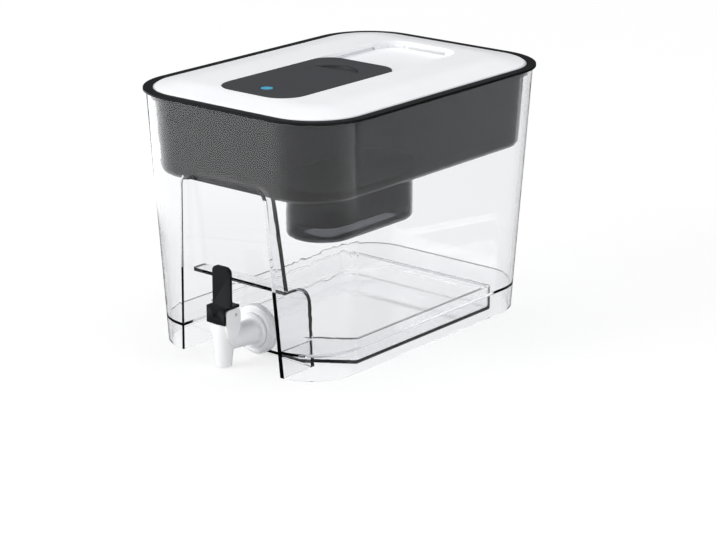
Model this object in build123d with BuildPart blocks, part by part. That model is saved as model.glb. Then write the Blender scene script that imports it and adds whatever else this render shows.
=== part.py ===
from build123d import *
import math
import os

os.makedirs("parts", exist_ok=True)

# Frame: X right, Y back, Z up. The origin is the middle of the footprint, on the ground.

# ---- clearances
running_fit = 0.06  # radial, pin or stem in its hole
part_gap = 0.3  # between pieces that move past each other
hole_gap = 0.15  # radial, a screw or stud in its hole
overshoot = 1.0  # how far a cutting solid runs past what it cuts

# ---- tank: a tapered shell, outline given at its top edge
tank_height = 247.4
top_width = 249.1
top_length = 356.2
top_corner = 59.2
width_taper = 32.3  # how much narrower it is at the ground
length_taper = 26.4
corner_taper = 11.1
tank_wall = 3.0
tank_edge_round = 0.8
ledge_height = 26.5  # floor beside the sunken basin
basin_floor = 4.0
basin_side_gap = 18.4  # basin to the outline at the ground
basin_back_gap = 49.9
basin_corner = 4.0
basin_round = 2.0
sump_width = 92.0  # where the basin meets the tap
sump_length = 31.0

# ---- cup bay in the tank's front, shallow above and deep at the tap
bay_top = 178.5
bay_base_half = 61.5
bay_top_half = 50.3
bay_corner = 12.0
bay_top_depth = 13.6  # from the front of the top edge
bay_shelf_depth = 24.8
chamber_depth = 55.1
chamber_top = 77.0
chamber_corner = 15.0

# ---- hopper: hangs in the tank by its flange, its mouth wider than the wall below the lid's shelf
hopper_depth = 77.9  # below the top edge
hopper_wall = 2.2
hopper_gap = 1.0
hopper_edge = 6.0
flange_reach = 3.0
flange_thickness = 2.3
flange_round = 0.7
bay_clearance = 1.2
shelf_drop = 3.4
shelf_thickness = 2.4
shelf_step = 4.0  # wall below the shelf to the mouth above it

# ---- filter pocket in the hopper's front right
pocket_side_gap = 3.4  # pocket to the outside of the hopper
pocket_front_gap = 12.5
pocket_width = 66.0
pocket_length = 144.5
pocket_depth = 37.6
pocket_edge = 5.0
outlet_width = 36.0
outlet_length = 104.0
rim_height = 7.5  # the pocket's rim above the hopper's floor

# ---- filter cartridge
case_gap = 1.6  # case to pocket, all round
case_wall = 1.6
case_lift = 13.0
brim_overhang = 3.2  # brim past the pocket's inner wall
brim_thickness = 2.0
brim_skirt = 8.0
cap_plate = 2.6
seal_thickness = 1.2
cap_round = 2.4
slot_rings = 4
slot_count = 9
slot_count_step = 4
slot_first_radius = 7.0
slot_ring_step = 6.5
slot_length = 4.2
slot_width = 1.2
cap_dish_inset = 4.0
cap_dish_depth = 0.8
tab_width = 30.0
tab_height = 22.0
tab_thickness = 5.0
fleece_thickness = 1.5
outlet_holes_across = 3
outlet_holes_along = 10
outlet_hole_pitch = 10.0
outlet_hole = 2.2

# ---- lid panel
lid_edge_rise = 3.0  # above the top edge
lid_rise = 8.0
lid_thickness = 2.4
lid_crown = 30.0  # how far in the crown reaches the flat middle
crown_round = 110.0
lid_edge_round = 1.2
recess_edge_round = 0.5
seal_gap = 1.9
seal_lift = 1.6  # above the shelf
seal_height = 3.6
seal_groove = 1.0

# ---- recess in the lid, and the tray that floors it
recess_width = 93.8
recess_front_gap = 33.0  # recess to the edge of the lid
recess_back_gap = 40.5
recess_corner = 25.0
recess_wall = 1.6
tray_wall = 3.6
recess_depth = 7.0
tray_thickness = 2.0
tray_slot_depth = 2.25  # side slots that guide the hatch
tray_slot_roof = 1.0
tray_ear_reach = 9.0
tray_ear_lift = 0.6
tray_ear_thickness = 2.0
fill_width = 78.0
fill_length = 86.0
fill_corner = 14.0
fill_front_gap = 9.0
lid_screws_along = 4
lid_screw_pitch = 76.0
boss_radius = 3.6
screw_radius = 1.4
screw_head_radius = 2.8
screw_head_height = 1.4
screw_length = 5.4

# ---- sliding hatch
hatch_front_gap = 1.5
hatch_back_gap = 4.0  # left when it is slid open
hatch_length = 166.0
hatch_side_gap = 0.3
hatch_front_corner = 25.0
hatch_back_corner = 21.5
hatch_wall = 1.8
hatch_round = 0.6
plate_bottom_gap = 0.3
plate_thickness = 1.8
tongue_gap = 0.6
tongue_front_inset = 30.5
tongue_back_inset = 21.0
tongue_corner = 3.0
scoop_inset = 42.5  # from the hatch's back to the scoop's straight edge
scoop_reach = 8.5  # from that edge to the middle of its arc
scoop_radius = 27.75
scoop_round = 1.2
scoop_depth = 3.2
scoop_floor = 1.3
hatch_screw_x = 37.0
hatch_screw_front_inset = 35.5
hatch_screw_back_inset = 16.5
hatch_screw_length = 3.2

# ---- hatch electronics
button_inset = 24.9
button_radius = 6.75
button_travel = 0.5
button_flange = 8.0
button_flange_thickness = 0.4
board_width = 42.0
board_length = 34.0
board_thickness = 0.8
board_inset = 27.5
switch_size = 4.5
switch_height = 0.8
lamp_size = 1.6
lamp_height = 0.6
lamp_offset = 11.0
cell_radius = 10.0
cell_thickness = 1.6
cell_inset = 63.5
contact_width = 6.0
contact_thickness = 0.2
door_radius = 12.5
door_gap = 0.2
door_slot_width = 1.6

# ---- tap
stem_radius = 7.7
stem_reach = 17.0  # into the tank
collar_radius = 24.0
collar_ground_gap = 1.0
collar_depth = 8.0
collar_rib = 0.55
collar_ribs = 72
collar_chamfer = 1.2
washer_radius = 17.0
washer_thickness = 2.0
nut_radius = 14.0
nut_depth = 6.0
disc_radius = 17.0
disc_depth = 4.0
barrel_radius = 9.5
barrel_root_radius = 12.5
nozzle_reach = 49.5
nozzle_tip = 1.5
nozzle_tip_radius = 7.5
nozzle_top = 37.0
nozzle_top_radius = 11.3
outlet_bore = 4.5
inlet_bore = 5.6
seat_height = 16.0
valve_bore = 8.0
body_half_width = 11.5
body_front_reach = 8.1  # from the nozzle axis
body_back_reach = 11.2
body_deck = 44.2
cheek_thickness = 3.2
cheek_top = 58.2
bonnet_bottom = 39.5
pivot_reach = 5.0
pivot_z = 52.0
pin_radius = 1.6
hub_radius = 2.8
cheek_back_radius = 6.2
cheek_front_round = 4.0
cheek_front_height = 42.0
cheek_back_height = 38.0
cheek_belly = ((-4.0, 27.0), (1.5, 22.0))  # depth from the nozzle axis, height

# ---- lever
cap_front_overhang = 2.9
cap_bottom = 44.7
cap_underside = 58.6
cap_top = 61.0
cap_back_inset = 1.1
cap_wall = 2.3
cap_round_radius = 0.8
dimple_radius = 2.6
dimple_depth = 1.2
paddle_top = 98.5
paddle_front_reach = 2.5
paddle_thickness = 3.2
paddle_corner = 6.0
paddle_inset = 0.5
neck_thickness = 3.2
neck_root = 0.5
prong_thickness = 3.0
prong_width = 3.0
prong_gap = 0.6

# ---- valve
valve_rod_radius = 1.8
valve_head_radius = 4.0
valve_head_thickness = 1.8
valve_head_gap = 0.3
cup_radius = 7.0
cup_height = 7.0
spring_radius = 5.0
spring_wire = 0.4
spring_turns = 5

# ---- outline at the ground, and insets from the outline
base_width = top_width - width_taper
base_length = top_length - length_taper
hopper_inset = tank_wall + hopper_gap
inner_inset = hopper_inset + hopper_wall
wall_inset = hopper_inset + shelf_step
lid_inset = inner_inset + seal_gap

# ---- heights
hopper_bottom = tank_height - hopper_depth
pocket_floor_top = hopper_bottom + hopper_wall
pocket_bottom = hopper_bottom - pocket_depth
rim_top = pocket_floor_top + rim_height
case_bottom = pocket_bottom + case_lift
shelf_top = tank_height - shelf_drop
shelf_bottom = shelf_top - shelf_thickness
seal_bottom = shelf_top + seal_lift
lid_edge_top = tank_height + lid_edge_rise
lid_top = tank_height + lid_rise
panel_underside = lid_top - lid_thickness
tray_floor = lid_top - recess_depth
tray_bottom = tray_floor - tray_thickness
tray_ear_bottom = tray_bottom + tray_ear_lift
plate_bottom = tray_floor + plate_bottom_gap
plate_top = plate_bottom + plate_thickness
slot_top = plate_top + part_gap
tray_top = slot_top + tray_slot_roof
tap_height = collar_radius + collar_ground_gap

# ---- places along Y, tank and tap
tank_front = -top_length / 2
bay_top_back = tank_front + bay_top_depth
bay_shelf_back = tank_front + bay_shelf_depth
chamber_back = tank_front + chamber_depth
basin_front = chamber_back + sump_length
basin_back = base_length / 2 - basin_back_gap
stem_inner_end = chamber_back + stem_reach
tap_front = chamber_back - washer_thickness
nozzle_y = tap_front - nozzle_reach
body_front = nozzle_y - body_front_reach
body_back = nozzle_y + body_back_reach
pivot_y = nozzle_y + pivot_reach
cap_front = body_front - cap_front_overhang
cap_back = body_back - cap_back_inset
paddle_front = nozzle_y - paddle_front_reach

# ---- places along Y, lid and hatch
recess_front = tank_front + lid_inset + recess_front_gap
recess_back = top_length / 2 - lid_inset - recess_back_gap
recess_length = recess_back - recess_front
recess_y = (recess_back + recess_front) / 2
fill_y = recess_front + fill_front_gap + fill_length / 2
hatch_front = recess_front + hatch_front_gap
hatch_back = hatch_front + hatch_length
hatch_travel = recess_back - hatch_back_gap - hatch_back
tongue_front = hatch_front + tongue_front_inset
tongue_back = hatch_back - tongue_back_inset
scoop_y = hatch_back - scoop_inset
scoop_centre = scoop_y - scoop_reach
button_y = hatch_front + button_inset
board_y = hatch_front + board_inset
cell_y = hatch_front + cell_inset
hatch_screw_rows = (hatch_front + hatch_screw_front_inset, hatch_back - hatch_screw_back_inset)


def outline_at(height, inset):
    """Width, length and corner radius of the tank's tapered outline, moved in by inset."""
    share = height / tank_height
    width = base_width + width_taper * share
    length = base_length + length_taper * share
    corner = top_corner - corner_taper * (1 - share)
    return width - 2 * inset, length - 2 * inset, corner - inset


hopper_base_width, hopper_base_length = outline_at(hopper_bottom, wall_inset)[:2]
pocket_x = hopper_base_width / 2 - pocket_side_gap - pocket_width / 2
pocket_y = pocket_length / 2 + pocket_front_gap - hopper_base_length / 2


def tapered_block(low, high, inset):
    """Solid between two heights that follows the tank's taper, moved in by inset."""
    with BuildPart() as block:
        for height in (low, high):
            with BuildSketch(Plane.XY.offset(height)):
                RectangleRounded(*outline_at(height, inset))
        loft()
    return block.part


def bay_block(grow):
    """The space of the cup bay, with every wall moved into the tank by grow."""
    front = tank_front - tank_wall - overshoot
    ceiling = chamber_top + grow
    top = bay_top + grow
    with BuildPart() as bay:
        with BuildSketch(Plane.YZ) as side_view:
            with BuildLine():
                Polyline(
                    (front, -overshoot),
                    (chamber_back + grow, -overshoot),
                    (chamber_back + grow, ceiling),
                    (bay_shelf_back + grow, ceiling),
                    (bay_top_back + grow, top),
                    (front, top),
                    close=True,
                )
            make_face()
            deepest = side_view.vertices().group_by(Axis.X)[-1]
            fillet(deepest.sort_by(Axis.Y)[-1], chamber_corner + grow)
        extrude(amount=base_width / 2, both=True)
        with BuildSketch(Plane.XZ) as front_view:
            with BuildLine():
                Polyline(
                    (-bay_base_half - grow, -overshoot),
                    (bay_base_half + grow, -overshoot),
                    (bay_top_half + grow, top),
                    (-bay_top_half - grow, top),
                    close=True,
                )
            make_face()
            fillet(front_view.vertices().group_by(Axis.Y)[-1], bay_corner + grow)
        extrude(amount=-front + overshoot, mode=Mode.INTERSECT)
    return bay.part


def basin_block(low, high, grow):
    """The sunken basin, which narrows to the sump at the tap, moved out by grow."""
    side = base_width / 2 - basin_side_gap + grow
    with BuildPart() as basin:
        with BuildSketch(Plane.XY.offset(low)) as plan:
            with BuildLine():
                Polyline(
                    (-side, basin_back + grow),
                    (side, basin_back + grow),
                    (side, basin_front - grow / 2),
                    (sump_width / 2 + grow, chamber_back),
                    (-sump_width / 2 - grow, chamber_back),
                    (-side, basin_front - grow / 2),
                    close=True,
                )
            make_face()
            wide_corners = plan.vertices().filter_by_position(Axis.Y, basin_front - grow, basin_back + grow)
            fillet(wide_corners, basin_corner)
        extrude(amount=high - low)
        fillet(basin.edges().group_by(Axis.Z)[0], basin_round)
    return basin.part


def stadium_block(low, high, grow):
    """A solid with the filter pocket's round-ended outline, moved out by grow."""
    with BuildPart() as block:
        with BuildSketch(Plane.XY.offset(low)):
            with Locations((pocket_x, pocket_y)):
                SlotOverall(pocket_length + 2 * grow, pocket_width + 2 * grow, rotation=90)
        extrude(amount=high - low)
    return block.part


def lid_crown_block(inset, drop):
    """The lid's crowned outside, or its hollow when moved in by inset and down by drop."""
    edge = lid_edge_top - drop
    bottom = shelf_top + part_gap - (overshoot if drop else 0)
    with BuildPart() as crown:
        with BuildSketch(Plane.XY.offset(bottom)):
            RectangleRounded(*outline_at(tank_height, lid_inset + inset))
        extrude(amount=edge - bottom)
        with BuildSketch(Plane.XY.offset(edge)):
            RectangleRounded(*outline_at(tank_height, lid_inset + inset))
        with BuildSketch(Plane.XY.offset(lid_top - drop)):
            RectangleRounded(*outline_at(tank_height, lid_inset + lid_crown))
        loft()
        fillet(crown.edges().group_by(Axis.Z)[-1], crown_round)
        if not drop:
            fillet(crown.edges().filter_by_position(Axis.Z, edge, edge), lid_edge_round)
    return crown.part


def save(piece, name):
    """Label a finished piece and write its STEP file."""
    piece.part.label = name
    export_step(piece.part, f"parts/{name}.step")


# ---------------------------------------------------------------- tank

tank_outside = tapered_block(0, tank_height, 0)
tank_inside = tapered_block(ledge_height, tank_height + overshoot, tank_wall)
under_shell = tapered_block(-overshoot, ledge_height - tank_wall, tank_wall)
basin_inside = basin_block(basin_floor, ledge_height + overshoot, 0)
basin_outside = basin_block(basin_floor - tank_wall, ledge_height, tank_wall)
bay_skin = bay_block(tank_wall)
bay_space = bay_block(0)

with BuildPart() as under_space:
    add(under_shell)
    add(basin_outside, mode=Mode.SUBTRACT)

with BuildPart() as bay_wall:
    add(tank_outside)
    add(bay_skin, mode=Mode.INTERSECT)

with BuildPart() as tank:
    add(tank_outside)
    add(tank_inside, mode=Mode.SUBTRACT)
    add(basin_inside, mode=Mode.SUBTRACT)
    add(under_space.part, mode=Mode.SUBTRACT)
    add(bay_wall.part)
    add(bay_space, mode=Mode.SUBTRACT)
    fillet(tank.edges().group_by(Axis.Z)[-1], tank_edge_round)
    with Locations(Plane.XZ.offset(-chamber_back - tank_wall - overshoot)):
        with Locations((0, tap_height)):
            Cylinder(
                stem_radius + part_gap,
                tank_wall + 2 * overshoot,
                align=(Align.CENTER, Align.CENTER, Align.MIN),
                mode=Mode.SUBTRACT,
            )
save(tank, "tank")

# ---------------------------------------------------------------- hopper

hopper_outside = tapered_block(hopper_bottom, shelf_bottom, wall_inset)
hopper_inside = tapered_block(pocket_floor_top, shelf_top + overshoot, wall_inset + hopper_wall)
mouth_outside = tapered_block(shelf_bottom, tank_height, hopper_inset)
mouth_inside = tapered_block(shelf_top, tank_height + 2 * flange_thickness, inner_inset)
notch = bay_block(tank_wall + bay_clearance)
notch_inside = bay_block(tank_wall + bay_clearance + hopper_wall)
pocket_outside = stadium_block(pocket_bottom, pocket_floor_top, 0)

with BuildPart() as hollow:
    add(hopper_inside)
    fillet(hollow.edges().group_by(Axis.Z)[0], hopper_edge - hopper_wall)
    add(notch_inside, mode=Mode.SUBTRACT)
    add(mouth_inside)

with BuildPart() as pocket_hollow:
    add(stadium_block(pocket_bottom + hopper_wall, pocket_floor_top + overshoot, -hopper_wall))
    fillet(pocket_hollow.edges().group_by(Axis.Z)[0], pocket_edge - hopper_wall)

rim_root = hopper_bottom + hopper_wall / 2
with BuildPart() as pocket_rim:
    add(stadium_block(rim_root, rim_top, 0))
    add(stadium_block(rim_root, rim_top, -hopper_wall), mode=Mode.SUBTRACT)

with BuildPart() as hopper:
    add(hopper_outside)
    fillet(hopper.edges().group_by(Axis.Z)[0], hopper_edge)
    add(mouth_outside)
    with BuildSketch(Plane.XY.offset(tank_height)):
        RectangleRounded(*outline_at(tank_height, -flange_reach))
    extrude(amount=flange_thickness)
    fillet(hopper.edges().group_by(Axis.Z)[-1], flange_round)
    add(notch, mode=Mode.SUBTRACT)
    add(pocket_outside)
    fillet(hopper.edges().group_by(Axis.Z)[0], pocket_edge)
    add(hollow.part, mode=Mode.SUBTRACT)
    add(pocket_hollow.part, mode=Mode.SUBTRACT)
    add(pocket_rim.part)
    with BuildSketch(Plane.XY.offset(pocket_bottom - overshoot)):
        with Locations((pocket_x, pocket_y)):
            RectangleRounded(outlet_width, outlet_length, outlet_width / 3)
    extrude(amount=hopper_wall + 2 * overshoot, mode=Mode.SUBTRACT)
save(hopper, "hopper")

# ---------------------------------------------------------------- filter cartridge

case_grow = -hopper_wall - case_gap
brim_grow = -hopper_wall + brim_overhang
seal_bottom_z = rim_top + part_gap
brim_bottom = seal_bottom_z + seal_thickness
brim_top = brim_bottom + brim_skirt
case_outside = stadium_block(case_bottom, brim_bottom, case_grow)
case_flange = stadium_block(brim_bottom, brim_bottom + brim_thickness, brim_grow - brim_thickness)
case_inside = stadium_block(case_bottom + case_wall, brim_top, case_grow - case_wall)

with BuildPart() as filter_case:
    add(case_outside)
    fillet(filter_case.edges().group_by(Axis.Z)[0], 2 * case_wall)
    add(case_flange)
    add(case_inside, mode=Mode.SUBTRACT)
    with Locations((pocket_x, pocket_y, case_bottom)):
        with GridLocations(outlet_hole_pitch, outlet_hole_pitch, outlet_holes_across, outlet_holes_along):
            Cylinder(outlet_hole, 4 * case_wall, mode=Mode.SUBTRACT)
save(filter_case, "filter_case")

with BuildPart() as filter_seal:
    add(stadium_block(seal_bottom_z, brim_bottom, brim_grow - brim_thickness))
    add(stadium_block(seal_bottom_z, brim_bottom, case_grow + hole_gap), mode=Mode.SUBTRACT)
save(filter_seal, "filter_seal")

flange_top = brim_bottom + brim_thickness
with BuildPart() as filter_cap:
    add(stadium_block(brim_bottom, brim_top, brim_grow))
    fillet(filter_cap.edges().group_by(Axis.Z)[-1], cap_round)
    rim_grow = brim_grow - brim_thickness + hole_gap
    add(stadium_block(brim_bottom - overshoot, flange_top, rim_grow), mode=Mode.SUBTRACT)
    add(stadium_block(flange_top, brim_top - cap_plate, case_grow), mode=Mode.SUBTRACT)
    dish_bottom = brim_top - cap_dish_depth
    add(stadium_block(dish_bottom, brim_top + overshoot, brim_grow - cap_dish_inset), mode=Mode.SUBTRACT)
    plate_middle = brim_top - cap_plate / 2
    end_offset = (pocket_length - pocket_width) / 2
    for end in (-1, 1):
        with Locations((pocket_x, pocket_y + end * end_offset, plate_middle)):
            for ring in range(slot_rings):
                ring_radius = slot_first_radius + slot_ring_step * ring
                with PolarLocations(ring_radius, slot_count + slot_count_step * ring):
                    Box(slot_length, slot_width, 2 * cap_plate, mode=Mode.SUBTRACT)
    with BuildSketch(Plane.XZ.offset(-pocket_y - tab_thickness / 2)):
        with Locations((pocket_x, brim_top - case_wall)):
            Rectangle(tab_width, tab_height - tab_width / 2 + case_wall, align=(Align.CENTER, Align.MIN))
        with Locations((pocket_x, brim_top + tab_height - tab_width / 2)):
            Circle(tab_width / 2)
        with Locations((pocket_x, brim_top - case_wall)):
            Rectangle(2 * tab_width, 2 * tab_width, align=(Align.CENTER, Align.MAX), mode=Mode.SUBTRACT)
    extrude(amount=tab_thickness)
save(filter_cap, "filter_cap")

fleece_bottom = case_bottom + case_wall
fleece_grow = case_grow - case_wall - part_gap
with BuildPart() as filter_fleece:
    add(stadium_block(fleece_bottom, fleece_bottom + fleece_thickness, fleece_grow))
save(filter_fleece, "filter_fleece")

with BuildPart() as filter_medium:
    add(stadium_block(fleece_bottom + fleece_thickness, brim_bottom, fleece_grow))
save(filter_medium, "filter_medium")

# ---------------------------------------------------------------- lid panel, tray and seal

panel_outside = lid_crown_block(0, 0)
panel_inside = lid_crown_block(lid_thickness, lid_thickness)
boss_x = recess_width / 2 + tray_wall + tray_ear_reach / 2
ear_top = tray_ear_bottom + tray_ear_thickness
first_screw_y = recess_y - (lid_screws_along - 1) / 2 * lid_screw_pitch
lid_screw_rows = [first_screw_y + row * lid_screw_pitch for row in range(lid_screws_along)]
lid_screw_places = [(side * boss_x, y) for side in (-1, 1) for y in lid_screw_rows]

with BuildPart() as lid_panel:
    add(panel_outside)
    add(panel_inside, mode=Mode.SUBTRACT)
    with BuildSketch(Plane.XY.offset(tray_bottom)):
        with Locations((0, recess_y)):
            RectangleRounded(recess_width, recess_length, recess_corner)
    extrude(amount=lid_top - tray_bottom + overshoot, mode=Mode.SUBTRACT)
    rim = lid_panel.edges(Select.LAST).filter_by(lambda edge: edge.center().Z > lid_top - lid_thickness / 2)
    fillet(rim, recess_edge_round)
    with BuildSketch(Plane.XY.offset(tray_top)):
        with Locations((0, recess_y)):
            outer_corner = recess_corner + recess_wall
            RectangleRounded(recess_width + 2 * recess_wall, recess_length + 2 * recess_wall, outer_corner)
            RectangleRounded(recess_width, recess_length, recess_corner, mode=Mode.SUBTRACT)
    extrude(amount=panel_underside - tray_top)
    with BuildSketch(Plane.XY.offset(ear_top)):
        with Locations(*lid_screw_places):
            Circle(boss_radius)
    extrude(amount=panel_underside - ear_top + hole_gap)
    with BuildSketch(Plane.XY.offset(ear_top - overshoot)):
        with Locations(*lid_screw_places):
            Circle(screw_radius + hole_gap)
    extrude(amount=overshoot + screw_length - tray_ear_thickness + hole_gap, mode=Mode.SUBTRACT)
    with BuildSketch(Plane.XY.offset(seal_bottom)):
        RectangleRounded(*outline_at(tank_height, lid_inset - overshoot))
        RectangleRounded(*outline_at(tank_height, lid_inset + seal_groove), mode=Mode.SUBTRACT)
    extrude(amount=seal_height, mode=Mode.SUBTRACT)
save(lid_panel, "lid_panel")

with BuildPart() as lid_seal:
    with BuildSketch(Plane.XY.offset(seal_bottom)):
        RectangleRounded(*outline_at(seal_bottom, inner_inset + part_gap))
        RectangleRounded(*outline_at(tank_height, lid_inset + seal_groove), mode=Mode.SUBTRACT)
    extrude(amount=seal_height)
save(lid_seal, "lid_seal")

slot_front = tongue_front - tongue_gap
slot_back = tongue_back + hatch_travel + tongue_gap

with BuildPart() as lid_tray:
    with BuildSketch(Plane.XY.offset(tray_bottom)):
        with Locations((0, recess_y)):
            tray_corner = recess_corner + tray_wall
            RectangleRounded(recess_width + 2 * tray_wall, recess_length + 2 * tray_wall, tray_corner)
    extrude(amount=tray_top - tray_bottom)
    with BuildSketch(Plane.XY.offset(tray_ear_bottom)):
        with Locations(*lid_screw_places):
            Rectangle(tray_ear_reach + tray_wall, 2 * tray_ear_reach)
    extrude(amount=tray_ear_thickness)
    with BuildSketch(Plane.XY.offset(tray_floor)):
        with Locations((0, recess_y)):
            RectangleRounded(recess_width, recess_length, recess_corner)
    extrude(amount=tray_top - tray_floor + overshoot, mode=Mode.SUBTRACT)
    with BuildSketch(Plane.XY.offset(tray_floor)):
        with Locations((0, (slot_front + slot_back) / 2)):
            Rectangle(recess_width + 2 * tray_slot_depth, slot_back - slot_front)
    extrude(amount=slot_top - tray_floor, mode=Mode.SUBTRACT)
    with BuildSketch(Plane.XY.offset(tray_bottom - overshoot)):
        with Locations((0, fill_y)):
            RectangleRounded(fill_width, fill_length, fill_corner)
    extrude(amount=tray_thickness + 2 * overshoot, mode=Mode.SUBTRACT)
    with BuildSketch(Plane.XY.offset(tray_bottom - overshoot)):
        with Locations(*lid_screw_places):
            Circle(screw_radius + hole_gap)
    extrude(amount=tray_ear_thickness + 3 * overshoot, mode=Mode.SUBTRACT)
save(lid_tray, "lid_tray")


def screw_group(plane_height, places, length, head_down):
    """Identical screws at the given places, heads at plane_height, shanks pointing up."""
    with BuildPart() as screws:
        with BuildSketch(Plane.XY.offset(plane_height - head_down)):
            with Locations(*places):
                Circle(screw_head_radius)
                RegularPolygon(screw_radius, 6, mode=Mode.SUBTRACT)
        extrude(amount=head_down / 2)
        with BuildSketch(Plane.XY.offset(plane_height - head_down / 2)):
            with Locations(*places):
                Circle(screw_head_radius)
        extrude(amount=head_down / 2)
        with BuildSketch(Plane.XY.offset(plane_height)):
            with Locations(*places):
                Circle(screw_radius)
        extrude(amount=length)
    return screws


lid_screws = screw_group(tray_ear_bottom, lid_screw_places, screw_length, screw_head_height)
save(lid_screws, "lid_screws")

# ---------------------------------------------------------------- sliding hatch

hatch_width = recess_width - 2 * hatch_side_gap
hatch_ceiling = lid_top - hatch_wall


def hatch_plan(width, front, back, front_corner, back_corner):
    """Outline of the hatch with its own front and back corner radii."""
    with BuildSketch(mode=Mode.PRIVATE) as plan:
        with Locations((0, (front + back) / 2)):
            Rectangle(width, back - front)
        ends = plan.vertices().group_by(Axis.Y)
        fillet(ends[0], front_corner)
        ends = plan.vertices().filter_by(lambda corner: corner.Y > back - overshoot / 2)
        fillet(ends, back_corner)
    return plan.sketch


def scoop_plan(grow):
    """Half-moon outline of the finger scoop, moved out by grow."""
    with BuildSketch(mode=Mode.PRIVATE) as moon:
        with Locations((0, scoop_centre)):
            Circle(scoop_radius + grow)
        with Locations((0, scoop_y - grow)):
            blank = 4 * scoop_radius
            Rectangle(blank, blank, align=(Align.CENTER, Align.MAX), mode=Mode.SUBTRACT)
    return moon.sketch


hatch_outline = hatch_plan(hatch_width, hatch_front, hatch_back, hatch_front_corner, hatch_back_corner)
hatch_hollow = hatch_plan(
    hatch_width - 2 * hatch_wall,
    hatch_front + hatch_wall,
    hatch_back - hatch_wall,
    hatch_front_corner - hatch_wall,
    hatch_back_corner - hatch_wall,
)
hatch_screw_places = [(side * hatch_screw_x, y) for side in (-1, 1) for y in hatch_screw_rows]
scoop_bottom = lid_top - scoop_depth

with BuildPart() as hatch_cover:
    with BuildSketch(Plane.XY.offset(plate_top)):
        add(hatch_outline)
    extrude(amount=lid_top - plate_top)
    fillet(hatch_cover.edges().group_by(Axis.Z)[-1], hatch_round)
    with BuildSketch(Plane.XY.offset(plate_top)):
        add(hatch_hollow)
    extrude(amount=hatch_ceiling - plate_top, mode=Mode.SUBTRACT)
    with BuildSketch(Plane.XY.offset(scoop_bottom - scoop_floor)):
        add(scoop_plan(scoop_floor))
    extrude(amount=hatch_ceiling - scoop_bottom + scoop_floor)
    with BuildSketch(Plane.XY.offset(scoop_bottom)):
        add(scoop_plan(0))
    extrude(amount=scoop_depth + overshoot, mode=Mode.SUBTRACT)
    fillet(hatch_cover.edges(Select.LAST).group_by(Axis.Z)[0], scoop_round)
    with BuildSketch(Plane.XY.offset(plate_top)):
        with Locations(*hatch_screw_places):
            Circle(boss_radius)
    extrude(amount=hatch_ceiling - plate_top)
    with BuildSketch(Plane.XY.offset(plate_top - overshoot)):
        with Locations(*hatch_screw_places):
            Circle(screw_radius + hole_gap)
    extrude(amount=overshoot + hatch_screw_length - plate_thickness / 2 + hole_gap, mode=Mode.SUBTRACT)
    with BuildSketch(Plane.XY.offset(plate_top)):
        with Locations((0, button_y)):
            Circle(button_radius + part_gap)
    extrude(amount=lid_top - plate_top + overshoot, mode=Mode.SUBTRACT)
save(hatch_cover, "hatch_cover")

with BuildPart() as hatch_plate:
    with BuildSketch(Plane.XY.offset(plate_bottom)):
        add(hatch_outline)
        with Locations((0, (tongue_front + tongue_back) / 2)):
            tongue_width = recess_width + 2 * (tray_slot_depth - tongue_gap)
            RectangleRounded(tongue_width, tongue_back - tongue_front, tongue_corner)
        with Locations((0, cell_y)):
            Circle(door_radius + door_gap, mode=Mode.SUBTRACT)
        with Locations(*hatch_screw_places):
            Circle(screw_radius + hole_gap, mode=Mode.SUBTRACT)
    extrude(amount=plate_thickness)
    with BuildSketch(Plane.XY.offset(plate_bottom)):
        with Locations(*hatch_screw_places):
            Circle(screw_head_radius + hole_gap)
    extrude(amount=plate_thickness / 2, mode=Mode.SUBTRACT)
save(hatch_plate, "hatch_plate")

hatch_screws = screw_group(
    plate_bottom + plate_thickness / 2, hatch_screw_places, hatch_screw_length, plate_thickness / 2
)
save(hatch_screws, "hatch_screws")

with BuildPart() as circuit_board:
    with BuildSketch(Plane.XY.offset(plate_top)):
        with Locations((0, board_y)):
            RectangleRounded(board_width, board_length, 2 * board_thickness)
    extrude(amount=board_thickness)
save(circuit_board, "circuit_board")

board_top = plate_top + board_thickness
with BuildPart() as push_switch:
    with BuildSketch(Plane.XY.offset(board_top)):
        with Locations((0, button_y)):
            Rectangle(switch_size, switch_size)
    extrude(amount=switch_height / 2)
    with BuildSketch(Plane.XY.offset(board_top + switch_height / 2)):
        with Locations((0, button_y)):
            Circle(switch_size / 3)
    extrude(amount=switch_height / 2)
save(push_switch, "push_switch")

with BuildPart() as status_lamp:
    with BuildSketch(Plane.XY.offset(board_top)):
        with Locations((lamp_offset, button_y)):
            Rectangle(lamp_size, lamp_size)
    extrude(amount=lamp_height)
    fillet(status_lamp.edges().group_by(Axis.Z)[-1], lamp_height / 4)
save(status_lamp, "status_lamp")

with BuildPart() as battery_door:
    with BuildSketch(Plane.XY.offset(plate_bottom)):
        with Locations((0, cell_y)):
            Circle(door_radius)
    extrude(amount=plate_thickness)
    with BuildSketch(Plane.XY.offset(plate_bottom)):
        with Locations((0, cell_y)):
            SlotOverall(door_radius, door_slot_width)
    extrude(amount=plate_thickness / 2, mode=Mode.SUBTRACT)
save(battery_door, "battery_door")

cell_bottom = plate_top + contact_thickness
with BuildPart() as coin_cell:
    with BuildSketch(Plane.XY.offset(cell_bottom)):
        with Locations((0, cell_y)):
            Circle(cell_radius)
    extrude(amount=cell_thickness)
    fillet(coin_cell.edges().group_by(Axis.Z)[-1], cell_thickness / 4)
save(coin_cell, "coin_cell")

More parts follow.
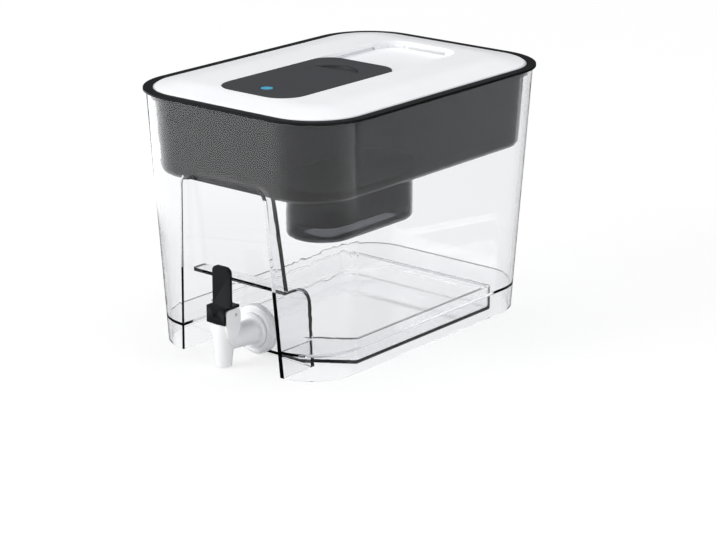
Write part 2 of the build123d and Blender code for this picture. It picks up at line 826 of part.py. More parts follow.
with BuildPart() as cell_contacts:
    with BuildSketch(Plane.XY.offset(plate_top)):
        with Locations((0, cell_y)):
            Rectangle(contact_width, 2 * cell_radius - contact_width)
    extrude(amount=contact_thickness)
    clip_y = board_y + board_length / 2
    clip_length = cell_y - clip_y
    with BuildSketch(Plane.XY.offset(cell_bottom + cell_thickness)):
        with Locations((0, cell_y)):
            Rectangle(contact_width, clip_length + contact_width / 2, align=(Align.CENTER, Align.MAX))
    extrude(amount=contact_thickness)
    with BuildSketch(Plane.XY.offset(board_top)):
        with Locations((0, clip_y - contact_width / 2)):
            Rectangle(contact_width, contact_width / 2, align=(Align.CENTER, Align.MIN))
    extrude(amount=cell_bottom + cell_thickness - board_top)
save(cell_contacts, "cell_contacts")

button_bottom = board_top + switch_height + button_travel + part_gap
with BuildPart() as indicator_button:
    with BuildSketch(Plane.XY.offset(button_bottom)):
        with Locations((0, button_y)):
            Circle(button_flange)
    extrude(amount=button_flange_thickness)
    with BuildSketch(Plane.XY.offset(button_bottom)):
        with Locations((0, button_y)):
            Circle(button_radius)
    extrude(amount=lid_top - button_bottom)
    fillet(indicator_button.edges().group_by(Axis.Z)[-1], part_gap)
save(indicator_button, "indicator_button")

# ---------------------------------------------------------------- tap

collar_front = tap_front - collar_depth
disc_front = collar_front - disc_depth


def ring_along_y(front, back, outer, inner):
    """A ring about the tap's stem, from front to back along Y."""
    with BuildPart() as ring:
        with BuildSketch(Plane.XZ.offset(-back)):
            with Locations((0, tap_height)):
                Circle(outer)
                Circle(inner, mode=Mode.SUBTRACT)
        extrude(amount=back - front)
    return ring


tap_outer_washer = ring_along_y(tap_front, chamber_back, washer_radius, stem_radius + hole_gap)
save(tap_outer_washer, "tap_outer_washer")

nut_seat = chamber_back + tank_wall
washer_back = nut_seat + washer_thickness
tap_inner_washer = ring_along_y(nut_seat, washer_back, nut_radius, stem_radius + hole_gap)
save(tap_inner_washer, "tap_inner_washer")

with BuildPart() as tap_lock_nut:
    with BuildSketch(Plane.XZ.offset(-washer_back - nut_depth)):
        with Locations((0, tap_height)):
            RegularPolygon(nut_radius, 6)
            Circle(stem_radius + hole_gap, mode=Mode.SUBTRACT)
    extrude(amount=nut_depth)
save(tap_lock_nut, "tap_lock_nut")

with BuildPart() as tap_collar:
    with BuildSketch(Plane.XZ.offset(-tap_front)):
        with Locations((0, tap_height)):
            Circle(collar_radius - collar_rib)
            with PolarLocations(collar_radius - collar_rib, collar_ribs):
                Circle(collar_rib)
            Circle(stem_radius + hole_gap, mode=Mode.SUBTRACT)
    extrude(amount=collar_depth)
    with BuildSketch(Plane.XZ.offset(-collar_front - collar_chamfer)):
        with Locations((0, tap_height)):
            Circle(2 * collar_radius)
            Circle(collar_radius - 2 * collar_chamfer, mode=Mode.SUBTRACT)
    extrude(amount=collar_chamfer, mode=Mode.SUBTRACT)
save(tap_collar, "tap_collar")

with BuildPart() as tap_body:
    with BuildSketch(Plane.XZ.offset(-stem_inner_end)):
        with Locations((0, tap_height)):
            Circle(stem_radius)
    extrude(amount=stem_inner_end - collar_front)
    with BuildSketch(Plane.XZ.offset(-collar_front)):
        with Locations((0, tap_height)):
            Circle(disc_radius)
    extrude(amount=disc_depth)
    fillet(tap_body.faces().sort_by(Axis.Y)[0].edges(), disc_depth / 3)
    for depth, radius in ((disc_front, barrel_root_radius), (nozzle_y, barrel_radius)):
        with BuildSketch(Plane.XZ.offset(-depth)):
            with Locations((0, tap_height)):
                Circle(radius)
    loft()
    for height, radius in ((nozzle_tip, nozzle_tip_radius), (nozzle_top, nozzle_top_radius)):
        with BuildSketch(Plane.XY.offset(height)):
            with Locations((0, nozzle_y)):
                Circle(radius)
    loft()
    with BuildSketch(Plane.XY.offset(nozzle_top)):
        with Locations((0, nozzle_y)):
            Circle(nozzle_top_radius)
        with Locations((0, (nozzle_y + body_back) / 2)):
            Rectangle(2 * nozzle_top_radius, body_back - nozzle_y)
    extrude(amount=body_deck - nozzle_top)
    with BuildSketch(Plane.YZ) as cheek_view:
        with BuildLine():
            Polyline(
                (body_front, cheek_front_height),
                *[(nozzle_y + depth, height) for depth, height in cheek_belly],
                (body_back, cheek_back_height),
                (body_back, pivot_z),
                (pivot_y, pivot_z),
                (pivot_y, cheek_top),
                (body_front, cheek_top),
                close=True,
            )
        make_face()
        top_corner = cheek_view.vertices().group_by(Axis.X)[0].sort_by(Axis.Y)[-1]
        fillet(top_corner, cheek_front_round)
        with Locations((pivot_y, pivot_z)):
            Circle(cheek_back_radius)
    extrude(amount=body_half_width, both=True)
    with BuildSketch(Plane.YZ):
        with Locations(((body_front - overshoot + body_back) / 2, body_deck)):
            slot_length = body_back - body_front + 3 * overshoot
            Rectangle(slot_length, cheek_top, align=(Align.CENTER, Align.MIN))
    extrude(amount=body_half_width - cheek_thickness, both=True, mode=Mode.SUBTRACT)
    with Locations((0, nozzle_y, 0)):
        Cylinder(outlet_bore, 4 * seat_height, mode=Mode.SUBTRACT)
    with BuildSketch(Plane.XY.offset(seat_height)):
        with Locations((0, nozzle_y)):
            Circle(valve_bore)
    extrude(amount=body_deck - seat_height + overshoot, mode=Mode.SUBTRACT)
    with BuildSketch(Plane.XZ.offset(-stem_inner_end - overshoot)):
        with Locations((0, tap_height)):
            Circle(inlet_bore)
    extrude(amount=stem_inner_end - nozzle_y + overshoot, mode=Mode.SUBTRACT)
    with BuildSketch(Plane.YZ):
        with Locations((pivot_y, pivot_z)):
            Circle(pin_radius + running_fit)
    extrude(amount=2 * body_half_width, both=True, mode=Mode.SUBTRACT)
save(tap_body, "tap_body")

with BuildPart() as tap_bonnet:
    with BuildSketch(Plane.XY.offset(bonnet_bottom)):
        with Locations((0, nozzle_y)):
            Circle(valve_bore - hole_gap)
            Circle(valve_rod_radius + running_fit, mode=Mode.SUBTRACT)
    extrude(amount=body_deck - bonnet_bottom)
save(tap_bonnet, "tap_bonnet")

with BuildPart() as lever_pin:
    with BuildSketch(Plane.YZ):
        with Locations((pivot_y, pivot_z)):
            Circle(pin_radius)
    extrude(amount=body_half_width, both=True)
save(lever_pin, "lever_pin")

# ---------------------------------------------------------------- lever

slot_half = body_half_width - cheek_thickness - part_gap
prong_top = pivot_z + hub_radius
neck_front = nozzle_y + valve_head_radius + 2 * part_gap
with BuildPart() as lever:
    with BuildSketch(Plane.YZ):
        with BuildLine():
            Polyline(
                (cap_front, cap_bottom),
                (cap_front, cap_top),
                (cap_back, cap_top),
                (cap_back, cap_underside),
                (cap_front + cap_wall, cap_underside),
                (cap_front + cap_wall, cap_bottom),
                close=True,
            )
        make_face()
    extrude(amount=body_half_width, both=True)
    fillet(lever.edges().filter_by(Axis.Z), cap_round_radius)
    with BuildSketch(Plane.XZ.offset(-paddle_front - paddle_thickness)) as paddle_face:
        with Locations((0, cap_underside)):
            paddle_width = 2 * (body_half_width - paddle_inset)
            Rectangle(paddle_width, paddle_top - cap_underside, align=(Align.CENTER, Align.MIN))
        fillet(paddle_face.vertices().group_by(Axis.Y)[-1], paddle_corner)
    extrude(amount=paddle_thickness)
    with BuildSketch(Plane.YZ):
        with Locations((pivot_y, pivot_z)):
            Circle(hub_radius)
        with Locations((neck_front, pivot_z)):
            neck_height = cap_underside - pivot_z + neck_root
            Rectangle(neck_thickness, neck_height, align=(Align.MIN, Align.MIN))
    extrude(amount=slot_half, both=True)
    prong_middle = valve_rod_radius + prong_gap + prong_width / 2
    for side in (-1, 1):
        with BuildSketch(Plane.YZ.offset(side * prong_middle)):
            with Locations((nozzle_y, prong_top - prong_thickness / 2)):
                Circle(prong_thickness / 2)
            with Locations(((nozzle_y + pivot_y) / 2, prong_top)):
                Rectangle(pivot_y - nozzle_y, prong_thickness, align=(Align.CENTER, Align.MAX))
        extrude(amount=prong_width / 2, both=True)
    with BuildSketch(Plane.YZ):
        with Locations((pivot_y, pivot_z)):
            Circle(pin_radius + running_fit)
    extrude(amount=2 * body_half_width, both=True, mode=Mode.SUBTRACT)
    with BuildSketch(Plane.XZ.offset(-cap_front - dimple_depth)):
        with Locations((0, pivot_z)):
            Circle(dimple_radius)
    extrude(amount=2 * dimple_depth, mode=Mode.SUBTRACT)
save(lever, "lever")

# ---------------------------------------------------------------- valve

cup_bottom = seat_height + part_gap
cup_top = cup_bottom + cup_height
head_bottom = prong_top + valve_head_gap
with BuildPart() as valve_stem:
    with BuildSketch(Plane.XY.offset(cup_top - cup_height / 2)):
        with Locations((0, nozzle_y)):
            Circle(valve_rod_radius)
    extrude(amount=head_bottom - cup_top + cup_height / 2)
    with BuildSketch(Plane.XY.offset(head_bottom)):
        with Locations((0, nozzle_y)):
            Circle(valve_head_radius)
    extrude(amount=valve_head_thickness)
save(valve_stem, "valve_stem")

with BuildPart() as valve_cup:
    with BuildSketch(Plane.XY.offset(cup_bottom)):
        with Locations((0, nozzle_y)):
            Circle(cup_radius)
    extrude(amount=cup_height)
    fillet(valve_cup.edges().group_by(Axis.Z)[-1], cup_height / 5)
    with BuildSketch(Plane.XY.offset(cup_top - cup_height / 2)):
        with Locations((0, nozzle_y)):
            Circle(valve_rod_radius)
    extrude(amount=cup_height, mode=Mode.SUBTRACT)
save(valve_cup, "valve_cup")

spring_bottom = cup_top + spring_wire
spring_height = bonnet_bottom - spring_wire - spring_bottom
with BuildPart() as valve_spring:
    with BuildLine(Plane.XY.offset(spring_bottom)) as coil:
        Helix(spring_height / spring_turns, spring_height, spring_radius, center=(0, nozzle_y, 0))
    with BuildSketch(Plane(coil.line @ 0, z_dir=coil.line % 0)):
        Circle(spring_wire)
    sweep(is_frenet=True)
save(valve_spring, "valve_spring")
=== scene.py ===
import math

import bpy
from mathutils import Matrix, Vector


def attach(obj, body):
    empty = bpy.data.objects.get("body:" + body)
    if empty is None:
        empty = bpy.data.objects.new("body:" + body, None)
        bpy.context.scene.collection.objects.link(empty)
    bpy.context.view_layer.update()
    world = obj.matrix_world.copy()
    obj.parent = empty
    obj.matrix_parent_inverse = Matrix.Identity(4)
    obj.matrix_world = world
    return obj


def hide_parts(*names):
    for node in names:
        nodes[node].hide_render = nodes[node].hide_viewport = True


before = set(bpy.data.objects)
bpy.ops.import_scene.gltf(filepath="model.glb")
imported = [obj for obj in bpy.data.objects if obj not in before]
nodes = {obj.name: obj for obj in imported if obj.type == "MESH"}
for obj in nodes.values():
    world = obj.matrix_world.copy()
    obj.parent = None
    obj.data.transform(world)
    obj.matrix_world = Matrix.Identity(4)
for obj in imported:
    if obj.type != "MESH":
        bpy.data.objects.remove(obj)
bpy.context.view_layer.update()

mm = 0.001


# a shader socket that can be added, multiplied and so on
class Wire:
    def __init__(self, sheet, socket):
        self.sheet = sheet
        self.socket = socket

    def __add__(self, other):
        return self.sheet.maths("ADD", self, other)

    def __radd__(self, other):
        return self.sheet.maths("ADD", other, self)

    def __sub__(self, other):
        return self.sheet.maths("SUBTRACT", self, other)

    def __rsub__(self, other):
        return self.sheet.maths("SUBTRACT", other, self)

    def __mul__(self, other):
        return self.sheet.maths("MULTIPLY", self, other)

    def __rmul__(self, other):
        return self.sheet.maths("MULTIPLY", other, self)

    def __abs__(self):
        return self.sheet.maths("ABSOLUTE", self, 0.0)

    def atLeast(self, other):
        return self.sheet.maths("MAXIMUM", self, other)


# the node tree of a material, or of the sky, filled from left to right
class Sheet:
    def __init__(self, holder):
        self.holder = holder
        self.holder.use_nodes = True
        self.tree = self.holder.node_tree
        self.tree.nodes.clear()
        self.place = None

    def add(self, kind, settings=None, values=None, result=0):
        made = self.tree.nodes.new(kind)
        for key, value in (settings or {}).items():
            setattr(made, key, value)
        for key, value in (values or {}).items():
            if isinstance(value, Wire):
                self.tree.links.new(value.socket, made.inputs[key])
            else:
                made.inputs[key].default_value = value
        return Wire(self, made.outputs[result])

    def maths(self, operation, first, second):
        return self.add("ShaderNodeMath", {"operation": operation}, {0: first, 1: second})

    def where(self):
        if self.place is None:
            self.place = self.add("ShaderNodeTexCoord", result="Object")
        return self.place

    def part(self, vector, axis):
        return self.add("ShaderNodeSeparateXYZ", {}, {"Vector": vector}, axis)

    def reach(self, vector):
        return self.add("ShaderNodeVectorMath", {"operation": "LENGTH"}, {0: vector}, "Value")

    def noise(self, scale, detail, roughness, stretch=None):
        vector = self.where()
        if stretch:
            vector = self.add("ShaderNodeMapping", {}, {"Vector": vector, "Scale": stretch})
        values = {"Vector": vector, "Scale": scale, "Detail": detail, "Roughness": roughness}
        return self.add("ShaderNodeTexNoise", {}, values, "Fac")

    def cells(self, scale, result):
        return self.add("ShaderNodeTexVoronoi", {}, {"Vector": self.where(), "Scale": scale}, result)

    def spread(self, value, low, high, toLow=0.0, toHigh=1.0):
        values = {"Value": value, "From Min": low, "From Max": high, "To Min": toLow, "To Max": toHigh}
        return self.add("ShaderNodeMapRange", {"clamp": True}, values)

    def tint(self, share, first, second):
        return self.add("ShaderNodeMix", {"data_type": "RGBA"}, {0: share, 6: first, 7: second}, 2)

    def facing(self):
        return self.add("ShaderNodeLayerWeight", {}, {"Blend": 0.5}, "Facing")

    def relief(self, height, depth, under=None):
        values = {"Height": height, "Distance": depth}
        if under is not None:
            values["Normal"] = under
        return self.add("ShaderNodeBump", {}, values)

    def plastic(self, values):
        return self.add("ShaderNodeBsdfPrincipled", {}, values)

    def letLampsThrough(self, shader, colour):
        rays = self.add("ShaderNodeLightPath", result="Is Shadow Ray")
        clear = self.add("ShaderNodeBsdfTransparent", {}, {"Color": colour})
        return self.add("ShaderNodeMixShader", {}, {0: rays, 1: shader, 2: clear})

    def close(self, shader, volume=None, output="ShaderNodeOutputMaterial"):
        end = self.tree.nodes.new(output)
        self.tree.links.new(shader.socket, end.inputs["Surface"])
        if volume is not None:
            self.tree.links.new(volume.socket, end.inputs["Volume"])
        return self.holder


def newSheet(name):
    return Sheet(bpy.data.materials.new(name))


def paint(red, green, blue):
    # a colour as it looks on screen, 0 to 255, in linear light
    levels = [level / 255 for level in (red, green, blue)]
    return tuple(v / 12.92 if v <= 0.04045 else ((v + 0.055) / 1.055) ** 2.4 for v in levels) + (1.0,)


# clear tank: what one wall lets through, with painted shade where the walls turn away from view and
# painted dark lines at their edges
clearTank = {
    "tint": (0.976, 0.978, 0.983, 1.0),
    "paintedTurnShade": (0.90, 0.905, 0.915, 1.0),
    "paintedTurnFrom": (0.3, 0.75),
    "paintedEdgeShade": (0.5, 0.51, 0.54, 1.0),
    "paintedEdgeFrom": (0.7, 1.0),
    "mirror": (0.32, 0.32, 0.32, 1.0),
    "lampTint": (0.95, 0.955, 0.965, 1.0),
    "index": 1.49,
    "murk": 11.0,
    "murkColour": (0.42, 0.44, 0.50, 1.0),
    "waveSize": 14.0,
    "waveStretch": (1.0, 1.0, 0.35),
    "waveDepth": 0.0012 * mm,
    "handlingSize": 90.0,
    "handlingHaze": 0.035,
}


def makeClear():
    look = clearTank
    sheet = newSheet("clearTankPlastic")
    facing = sheet.facing()
    # the painted shade falls on walls only; floors and ledges keep the plain tint
    wall = 1 - abs(sheet.part(sheet.add("ShaderNodeNewGeometry", result="Normal"), "Z"))
    turnShaded = sheet.tint(sheet.spread(facing, *look["paintedTurnFrom"]) * wall, look["tint"], look["paintedTurnShade"])
    # painted shade: dark edge lines where the walls are seen edge-on
    colour = sheet.tint(sheet.spread(facing, *look["paintedEdgeFrom"]) * wall, turnShaded, look["paintedEdgeShade"])
    waves = sheet.noise(look["waveSize"], 2.0, 0.4, look["waveStretch"])
    handling = sheet.noise(look["handlingSize"], 4.0, 0.6)
    shader = sheet.plastic(
        {
            "Base Color": colour,
            "Roughness": sheet.spread(handling, 0.55, 0.8, 0.0, look["handlingHaze"]),
            "IOR": look["index"],
            "Specular Tint": look["mirror"],
            "Transmission Weight": 1.0,
            "Normal": sheet.relief(waves, look["waveDepth"]),
        }
    )
    murk = sheet.add(
        "ShaderNodeVolumeAbsorption", {}, {"Color": look["murkColour"], "Density": look["murk"]}
    )
    return sheet.close(sheet.letLampsThrough(shader, look["lampTint"]), murk)


# smoke grey hopper, with painted shade at its edges
smokeHopper = {
    "tint": (0.102, 0.105, 0.115, 1.0),
    "cloudTint": (0.096, 0.099, 0.109, 1.0),
    "cloudSize": 9.0,
    "paintedEdgeShade": (0.05, 0.052, 0.058, 1.0),
    "paintedEdgeFrom": (0.6, 1.0),
    "mirror": (0.08, 0.08, 0.08, 1.0),
    "lampTint": (0.16, 0.16, 0.17, 1.0),
    "index": 1.50,
    "waveSize": 11.0,
    "waveStretch": (1.0, 1.0, 0.4),
    "waveDepth": 0.0012 * mm,
    "handlingSize": 70.0,
    "handlingHaze": 0.004,
}


def makeSmoke():
    look = smokeHopper
    sheet = newSheet("smokeHopperPlastic")
    cloud = sheet.spread(sheet.noise(look["cloudSize"], 3.0, 0.5), 0.3, 0.7)
    body = sheet.tint(cloud, look["tint"], look["cloudTint"])
    # painted shade: the hopper's walls darken where they are seen edge-on
    colour = sheet.tint(sheet.spread(sheet.facing(), *look["paintedEdgeFrom"]), body, look["paintedEdgeShade"])
    waves = sheet.noise(look["waveSize"], 2.0, 0.4, look["waveStretch"])
    handling = sheet.noise(look["handlingSize"], 4.0, 0.6)
    shader = sheet.plastic(
        {
            "Base Color": colour,
            "Roughness": sheet.spread(handling, 0.6, 0.8, 0.0, look["handlingHaze"]),
            "IOR": look["index"],
            "Specular Tint": look["mirror"],
            "Transmission Weight": 1.0,
            "Normal": sheet.relief(waves, look["waveDepth"]),
        }
    )
    return sheet.close(sheet.letLampsThrough(shader, look["lampTint"]))


# solid plastics
moulded = {
    "rim": {
        "name": "rimBlack",
        "paint": paint(20, 21, 23),
        "cloud": paint(16, 17, 19),
        "rough": 0.34,
        "grain": 1800.0,
        "grainDepth": 0.006 * mm,
        "shine": 0.06,
    },
    "white": {
        "name": "lidWhite",
        "paint": paint(247, 248, 250),
        "cloud": paint(243, 244, 247),
        "rough": 0.34,
        "grain": 2400.0,
        "grainDepth": 0.008 * mm,
        "shine": 0.5,
    },
    # the tap's own white, painted brighter than the lid's to make up for the shade the tap sits in
    "tapWhiteBrightenedForShade": {
        "name": "tapWhiteBrightenedForShade",
        "paint": paint(250, 250, 252),
        "cloud": paint(246, 247, 249),
        "rough": 0.3,
        "grain": 2200.0,
        "grainDepth": 0.01 * mm,
        "shine": 0.5,
    },
    "dark": {
        "name": "hatchDark",
        "paint": paint(52, 53, 57),
        "cloud": paint(48, 49, 53),
        "rough": 0.46,
        "grain": 2800.0,
        "grainDepth": 0.02 * mm,
        "shine": 0.3,
    },
    "black": {
        "name": "leverBlack",
        "paint": paint(26, 27, 30),
        "cloud": paint(22, 23, 26),
        "rough": 0.45,
        "grain": 2400.0,
        "grainDepth": 0.02 * mm,
        "shine": 0.1,
    },
}
mouldedSurface = {
    "cloudSize": 16.0,
    "rippleSize": 22.0,
    "rippleDepth": 0.06 * mm,
    "dustSize": 260.0,
    "dustRough": 0.12,
    "grainRough": 0.16,
}


def makeMoulded(look):
    # faint clouding, a fine spark-eroded grain and a slow ripple
    surface = mouldedSurface
    sheet = newSheet(look["name"])
    cloud = sheet.spread(sheet.noise(surface["cloudSize"], 4.0, 0.6), 0.3, 0.7)
    grit = sheet.noise(look["grain"], 2.0, 0.5)
    ripple = sheet.noise(surface["rippleSize"], 2.0, 0.4)
    dust = sheet.spread(sheet.noise(surface["dustSize"], 2.0, 0.5), 0.66, 0.8)
    slow = sheet.relief(ripple, surface["rippleDepth"])
    unevenness = (grit - 0.5) * surface["grainRough"]
    shader = sheet.plastic(
        {
            "Base Color": sheet.tint(cloud, look["paint"], look["cloud"]),
            "Roughness": look["rough"] + unevenness + dust * surface["dustRough"],
            "IOR": 1.5,
            "Specular IOR Level": look["shine"],
            "Normal": sheet.relief(grit, look["grainDepth"], slow),
        }
    )
    return sheet.close(shader)


sealSilicone = {
    "paint": paint(205, 206, 208),
    "cloud": paint(188, 190, 193),
    "cloudSize": 60.0,
    "rough": 0.5,
    "bloomSize": 900.0,
    "bloomRough": 0.2,
    "bloomDepth": 0.01 * mm,
    "glow": 0.15,
    "glowDepth": 2.0 * mm,
}


def makeSilicone():
    look = sealSilicone
    sheet = newSheet("sealSilicone")
    cloud = sheet.spread(sheet.noise(look["cloudSize"], 4.0, 0.6), 0.35, 0.65)
    bloom = sheet.noise(look["bloomSize"], 2.0, 0.5)
    shader = sheet.plastic(
        {
            "Base Color": sheet.tint(cloud, look["paint"], look["cloud"]),
            "Roughness": look["rough"] + bloom * look["bloomRough"],
            "IOR": 1.41,
            "Subsurface Weight": look["glow"],
            "Subsurface Radius": (look["glowDepth"],) * 3,
            "Normal": sheet.relief(bloom, look["bloomDepth"]),
        }
    )
    return sheet.close(shader)


brushedSteel = {
    "paint": paint(196, 197, 199),
    "stain": paint(168, 169, 170),
    "stainSize": 120.0,
    "lineSize": 900.0,
    "lineStretch": (1.0, 0.05, 1.0),
    "lineDepth": 0.008 * mm,
    "lineRough": 0.2,
    "rough": 0.24,
}


def makeSteel():
    look = brushedSteel
    sheet = newSheet("brushedSteel")
    lines = sheet.noise(look["lineSize"], 3.0, 0.7, look["lineStretch"])
    stain = sheet.spread(sheet.noise(look["stainSize"], 3.0, 0.6), 0.45, 0.75)
    shader = sheet.plastic(
        {
            "Base Color": sheet.tint(stain, look["paint"], look["stain"]),
            "Metallic": 1.0,
            "Roughness": look["rough"] + lines * look["lineRough"],
            "Normal": sheet.relief(lines, look["lineDepth"]),
        }
    )
    return sheet.close(shader)


# carbon grains with a share of pale resin beads
filterGranules = {
    "grainSize": 620.0,
    "dark": paint(24, 24, 25),
    "light": paint(58, 57, 56),
    "resin": paint(196, 182, 150),
    "resinFrom": (0.62, 0.64),
    "rough": 0.85,
    "resinSmooth": 0.4,
    "depth": 0.7 * mm,
}


def makeGranules():
    look = filterGranules
    sheet = newSheet("carbonGranules")
    grain = sheet.cells(look["grainSize"], "Distance")
    colour = sheet.cells(look["grainSize"], "Color")
    pick = sheet.add("ShaderNodeSeparateColor", {}, {"Color": colour}, "Red")
    resin = sheet.spread(pick, *look["resinFrom"])
    carbon = sheet.tint(pick, look["dark"], look["light"])
    shader = sheet.plastic(
        {
            "Base Color": sheet.tint(resin, carbon, look["resin"]),
            "Roughness": look["rough"] - resin * look["resinSmooth"],
            "Normal": sheet.relief(1.0 - grain, look["depth"]),
        }
    )
    return sheet.close(shader)


filterFleece = {
    "paint": paint(214, 213, 208),
    "loft": paint(238, 238, 235),
    "loftSize": 160.0,
    "fibreSize": 1500.0,
    "fibreStretch": (1.0, 0.2, 1.0),
    "fibreDepth": 0.15 * mm,
}


def makeFleece():
    look = filterFleece
    sheet = newSheet("filterFleece")
    fibres = sheet.noise(look["fibreSize"], 5.0, 0.75, look["fibreStretch"])
    loft = sheet.noise(look["loftSize"], 3.0, 0.6)
    shader = sheet.plastic(
        {
            "Base Color": sheet.tint(loft, look["paint"], look["loft"]),
            "Roughness": 0.95,
            "Sheen Weight": 0.3,
            "Normal": sheet.relief(fibres, look["fibreDepth"]),
        }
    )
    return sheet.close(shader)


# solder mask with copper tracks under it
circuitBoard = {
    "mask": paint(18, 84, 44),
    "track": paint(52, 128, 68),
    "trackSize": 240.0,
    "trackShape": {"Mortar Size": 0.12, "Brick Width": 2.6, "Row Height": 0.6},
    "weaveSize": 1400.0,
    "rough": 0.32,
    "weaveRough": 0.15,
    "depth": 0.03 * mm,
}


def makeBoard():
    look = circuitBoard
    sheet = newSheet("circuitBoardMask")
    grid = {"Vector": sheet.where(), "Scale": look["trackSize"]} | look["trackShape"]
    tracks = sheet.add("ShaderNodeTexBrick", {"offset": 0.35}, grid, "Fac")
    weave = sheet.noise(look["weaveSize"], 2.0, 0.5)
    shader = sheet.plastic(
        {
            "Base Color": sheet.tint(tracks, look["mask"], look["track"]),
            "Roughness": look["rough"] + weave * look["weaveRough"],
            "Coat Weight": 0.5,
            "Normal": sheet.relief(tracks + weave * 0.2, look["depth"]),
        }
    )
    return sheet.close(shader)


# translucent cap with a darker ring at its edge: partly the cap's own ring colour, partly painted shadow
# of the gap around it
indicator = {
    "middle": paint(70, 184, 224),
    "ring": paint(18, 70, 96),
    "ringFrom": (5.2 * mm, 6.2 * mm),
    "centreY": -110.6 * mm,
    "gritSize": 700.0,
    "gritDepth": 0.006 * mm,
}


def makeIndicator():
    look = indicator
    sheet = newSheet("indicatorCap")
    grit = sheet.noise(look["gritSize"], 2.0, 0.5)
    centred = {"Vector": sheet.where(), "Location": (0.0, -look["centreY"], 0.0)}
    middle = sheet.add("ShaderNodeMapping", {}, centred)
    level = sheet.add("ShaderNodeVectorMath", {"operation": "MULTIPLY"}, {0: middle, 1: (1.0, 1.0, 0.0)})
    ring = sheet.spread(sheet.reach(level), *look["ringFrom"])
    shader = sheet.plastic(
        {
            "Base Color": sheet.tint(ring, look["middle"], look["ring"]),
            "Roughness": 0.18 + grit * 0.1,
            "Coat Weight": 0.6,
            "IOR": 1.5,
            "Normal": sheet.relief(grit, look["gritDepth"]),
        }
    )
    return sheet.close(shader)


finishes = {
    "clear": makeClear(),
    "smoke": makeSmoke(),
    "silicone": makeSilicone(),
    "steel": makeSteel(),
    "granules": makeGranules(),
    "fleece": makeFleece(),
    "board": makeBoard(),
    "indicator": makeIndicator(),
}
for kind, look in moulded.items():
    finishes[kind] = makeMoulded(look)
print("finishes made")


weldReach = 0.002 * mm
softAngle = math.radians(30.0)


def pickOnly(piece):
    bpy.ops.object.select_all(action="DESELECT")
    piece.select_set(True)
    bpy.context.view_layer.objects.active = piece


def wear(piece, finish):
    piece.data.materials.clear()
    piece.data.materials.append(finishes[finish])


def looseCopy(node, name):
    piece = nodes[node].copy()
    piece.data = nodes[node].data.copy()
    piece.name = name
    piece.data.name = name
    for key in list(piece.keys()):
        del piece[key]
    piece.parent = None
    bpy.context.scene.collection.objects.link(piece)
    return piece


def weld(piece):
    bpy.ops.object.mode_set(mode="EDIT")
    bpy.ops.mesh.select_all(action="SELECT")
    bpy.ops.mesh.remove_doubles(threshold=weldReach)
    bpy.ops.object.mode_set(mode="OBJECT")
    bpy.ops.object.shade_smooth_by_angle(angle=softAngle)


def keepNormals(piece, node):
    # the welded copy keeps its triangles' order, so the node's own smooth normals fit it
    normals = [corner.vector.copy() for corner in nodes[node].data.corner_normals]
    piece.data.normals_split_custom_set(normals)


def flattenFaces(piece):
    flat = piece.modifiers.new("flatFaces", "WEIGHTED_NORMAL")
    flat.keep_sharp = True
    flat.weight = 100
    bpy.ops.object.modifier_apply(modifier=flat.name)


def smoothCopy(node, name, body, finish, glassy=False):
    # a welded copy of a node, shown in its place
    piece = looseCopy(node, name)
    pickOnly(piece)
    weld(piece)
    if glassy:
        keepNormals(piece, node)
    else:
        flattenFaces(piece)
    wear(piece, finish)
    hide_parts(node)
    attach(piece, body)
    return piece


hopper = {"rimFrom": 247.3 * mm}


def makeHopper():
    shell = smoothCopy("hopper", "hopperShell", "hopper", "smoke", True)
    shell.data.materials.append(finishes["rim"])
    for face in shell.data.polygons:
        if face.center.z > hopper["rimFrom"]:
            face.material_index = 1


smoothCopy("tank", "tankShell", "tank", "clear", True)
makeHopper()
smoothCopy("lid_panel", "lidPanel", "lid", "white")
smoothCopy("lid_tray", "lidTray", "lid", "white")
smoothCopy("hatch_cover", "hatchCover", "hatch", "dark")
smoothCopy("tap_body", "tapBody", "tank", "tapWhiteBrightenedForShade")
smoothCopy("tap_collar", "tapCollar", "tank", "tapWhiteBrightenedForShade")
smoothCopy("lever", "tapLever", "lever", "black")
smoothCopy("indicator_button", "indicatorCap", "button", "indicator")
print("shells, lid and tap done")

# the other nodes are shown as they are
worn = {
    "hatch_plate": "dark",
    "hatch_screws": "steel",
    "battery_door": "black",
    "circuit_board": "board",
    "push_switch": "black",
    "status_lamp": "indicator",
    "coin_cell": "steel",
    "cell_contacts": "steel",
    "lid_seal": "silicone",
    "lid_screws": "steel",
    "filter_case": "white",
    "filter_cap": "white",
    "filter_seal": "silicone",
    "filter_fleece": "fleece",
    "filter_medium": "granules",
    "tap_outer_washer": "silicone",
    "tap_inner_washer": "silicone",
    "tap_lock_nut": "tapWhiteBrightenedForShade",
    "tap_bonnet": "tapWhiteBrightenedForShade",
    "lever_pin": "steel",
    "valve_stem": "tapWhiteBrightenedForShade",
    "valve_cup": "silicone",
    "valve_spring": "steel",
}
for node, finish in worn.items():
    wear(nodes[node], finish)
print("inner pieces dressed")


studio = {
    "floorSize": 14.0,
    "floorDrop": 0.05 * mm,
    "floorColour": 0.86,
    "floorShare": 0.34,
    "floorGlow": 0.67,
    "farGlow": 0.12,
    "farFrom": (0.5, 2.6),
    "boardBright": 2.9,
    "boardDim": 0.08,
    "boardEnd": (0.12, 0.2),
    "boardStart": (0.42, 0.56),
    "skyDiffuse": 0.56,
    "skyMirrorTop": 1.0,
    "skyMirrorEdge": 0.10,
    "skyRise": (0.34, 0.9),
}


def rayKinds(sheet):
    # 1 for what is seen straight or through the clear walls, and 1 for what is only mirrored
    camera = sheet.add("ShaderNodeLightPath", result="Is Camera Ray")
    through = sheet.add("ShaderNodeLightPath", result="Is Transmission Ray")
    glossy = sheet.add("ShaderNodeLightPath", result="Is Glossy Ray")
    straight = camera.atLeast(through)
    return straight, glossy * (1 - straight)


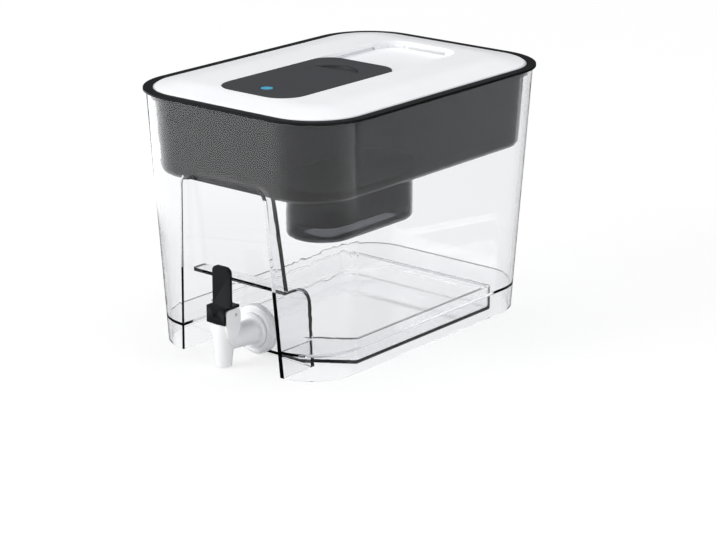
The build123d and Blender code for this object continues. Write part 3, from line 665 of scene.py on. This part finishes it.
def makePaper():
    sheet = newSheet("floorPaper")
    straight, mirrored = rayKinds(sheet)
    level = studio["floorColour"]
    colour = level - straight * (level - studio["floorShare"])
    matt = sheet.add("ShaderNodeBsdfDiffuse", {}, {"Color": colour})
    away = sheet.reach(sheet.where())
    # seen straight, the paper glows a little more where the lamps reach it less
    glow = studio["floorGlow"] + sheet.spread(away, *studio["farFrom"]) * studio["farGlow"]
    lit = sheet.add("ShaderNodeEmission", {}, {"Strength": straight * glow})
    paper = sheet.add("ShaderNodeAddShader", {}, {0: matt, 1: lit})
    # gloss mirrors a light board on the tap's side and a dim room on the other
    ahead = sheet.spread(sheet.part(sheet.where(), "Y"), *studio["boardEnd"], 1.0, 0.0)
    board = ahead * sheet.spread(away, *studio["boardStart"])
    gain = studio["boardBright"] - studio["boardDim"]
    mirror = sheet.add("ShaderNodeEmission", {}, {"Strength": studio["boardDim"] + board * gain})
    return sheet.close(sheet.add("ShaderNodeMixShader", {}, {0: mirrored, 1: paper, 2: mirror}))


def makeFloor():
    bpy.ops.object.select_all(action="DESELECT")
    bpy.ops.mesh.primitive_plane_add(size=studio["floorSize"], location=(0, 0, -studio["floorDrop"]))
    floor = bpy.context.object
    floor.name = "studioFloor"
    floor.data.materials.append(makePaper())


def makeSky():
    sheet = Sheet(bpy.data.worlds.new("studioSky"))
    direction = sheet.add("ShaderNodeTexCoord", result="Generated")
    ends = (studio["skyMirrorEdge"], studio["skyMirrorTop"])
    rise = sheet.spread(sheet.part(direction, "Z"), *studio["skyRise"], *ends)
    straight, mirrored = rayKinds(sheet)
    strength = straight + rise * mirrored + (1 - straight - mirrored) * studio["skyDiffuse"]
    light = {"Color": (1.0, 1.0, 1.0, 1.0), "Strength": strength}
    back = sheet.add("ShaderNodeBackground", {}, light)
    bpy.context.scene.world = sheet.close(back, output="ShaderNodeOutputWorld")


# the object's middle, which the lamps point at
aim = (0.0, 0.0, 0.12)
lamps = {
    "keyLamp": {"place": (-1.0, -1.7, 0.95), "size": (1.2, 1.2), "power": 27.0},
    "sideLamp": {"place": (1.7, 0.2, 1.1), "size": (0.8, 1.4), "power": 7.0},
    "topLamp": {"place": (0.0, 0.3, 1.9), "size": (1.6, 1.6), "power": 10.0},
}


def makeLamp(name, place, size, power):
    lamp = bpy.data.lights.new(name, "AREA")
    lamp.shape = "RECTANGLE"
    lamp.size, lamp.size_y = size
    lamp.energy = power
    holder = bpy.data.objects.new(name, lamp)
    holder.location = place
    holder.rotation_euler = (Vector(aim) - Vector(place)).to_track_quat("-Z", "Y").to_euler()
    bpy.context.scene.collection.objects.link(holder)


shot = {
    "azimuth": 39.85,
    "elevation": 17.82,
    "place": (1.4165, -1.698, 0.7623),
    "lens": 118.6,
    "sensor": 36.0,
    "shift": 0.0211,
    "nearAndFar": (0.05, 30.0),
}


def makeCamera():
    eye = bpy.data.cameras.new("productCamera")
    eye.lens = shot["lens"]
    eye.sensor_width = shot["sensor"]
    eye.shift_x = shot["shift"]
    eye.clip_start, eye.clip_end = shot["nearAndFar"]
    holder = bpy.data.objects.new("productCamera", eye)
    holder.location = shot["place"]
    tilt = math.radians(90 - shot["elevation"])
    holder.rotation_euler = (tilt, 0.0, math.radians(shot["azimuth"]))
    bpy.context.scene.collection.objects.link(holder)
    bpy.context.scene.camera = holder


wallBounces = 24        # light crosses several clear walls and turns inside them

makeFloor()
makeSky()
for name, values in lamps.items():
    makeLamp(name, **values)
makeCamera()
bpy.context.scene.view_settings.view_transform = "Standard"
for bounce in ("max_bounces", "transmission_bounces", "transparent_max_bounces"):
    setattr(bpy.context.scene.cycles, bounce, wallBounces)
print("studio ready")
